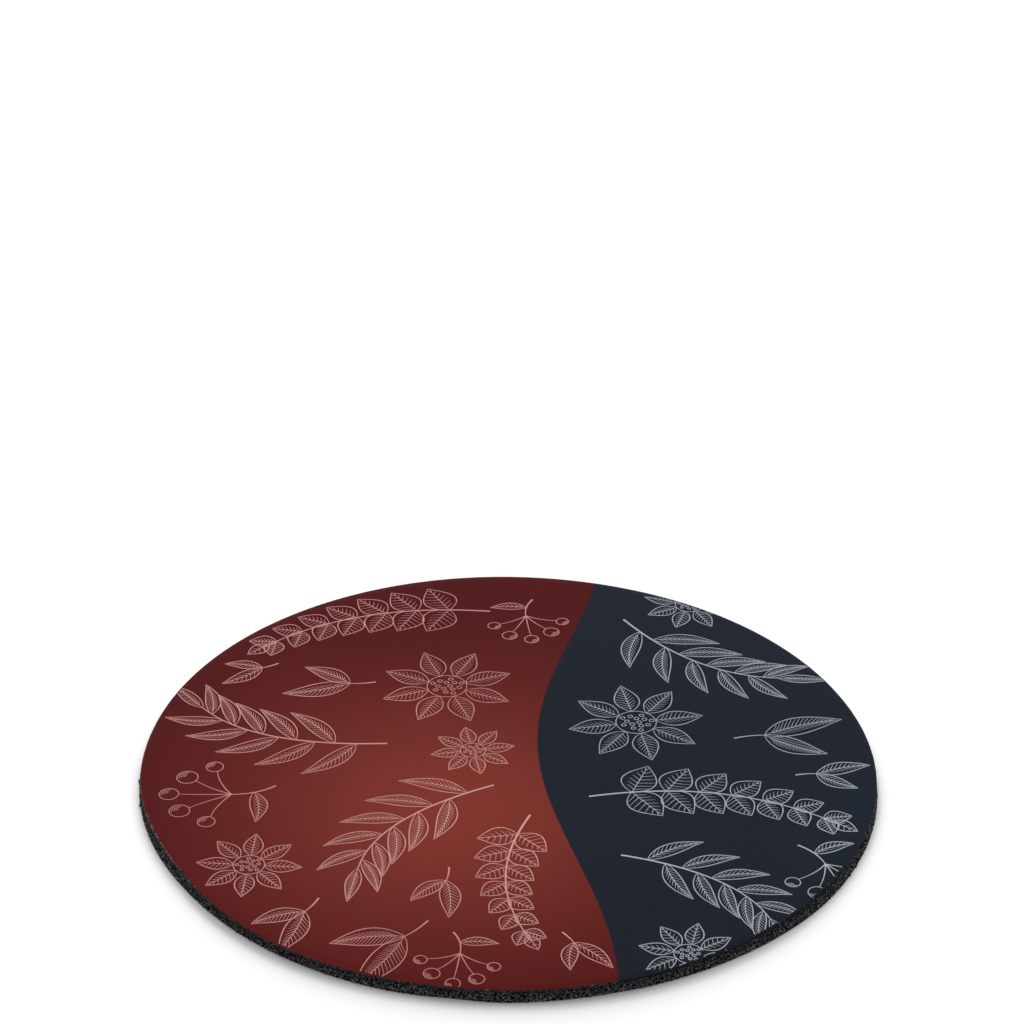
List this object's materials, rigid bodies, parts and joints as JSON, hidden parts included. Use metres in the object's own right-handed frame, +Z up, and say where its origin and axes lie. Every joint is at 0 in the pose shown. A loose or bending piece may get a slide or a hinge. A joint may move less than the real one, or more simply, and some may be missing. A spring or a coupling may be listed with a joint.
{
  "type": "drink coaster",
  "caption": "Flat round soft coaster: a printed cloth face bonded by adhesive film to a thin black sponge rubber base, die-cut through; it lies loose on a table under a drink.",
  "frame": {"origin": "middle of the underside, on the table", "axes": "+Z up out of the printed face, +X to the right and -Y towards the viewer as the print reads in the picture"},
  "size_m": [0.102, 0.102, 0.0017],
  "materials": {
    "sponge_rubber": "matt black sponge rubber with opened cells on the die-cut wall",
    "adhesive_film": "thin dark hot-melt film, seen only as a line in the cut edge",
    "printed_cloth": "smooth close-knit polyester, dye-printed in dark red and navy with fine pale line work"
  },
  "bodies": {
    "root": {"rubber_base": "sponge_rubber", "bond_film": "adhesive_film", "face_cloth": "printed_cloth"}
  },
  "joints": []
}
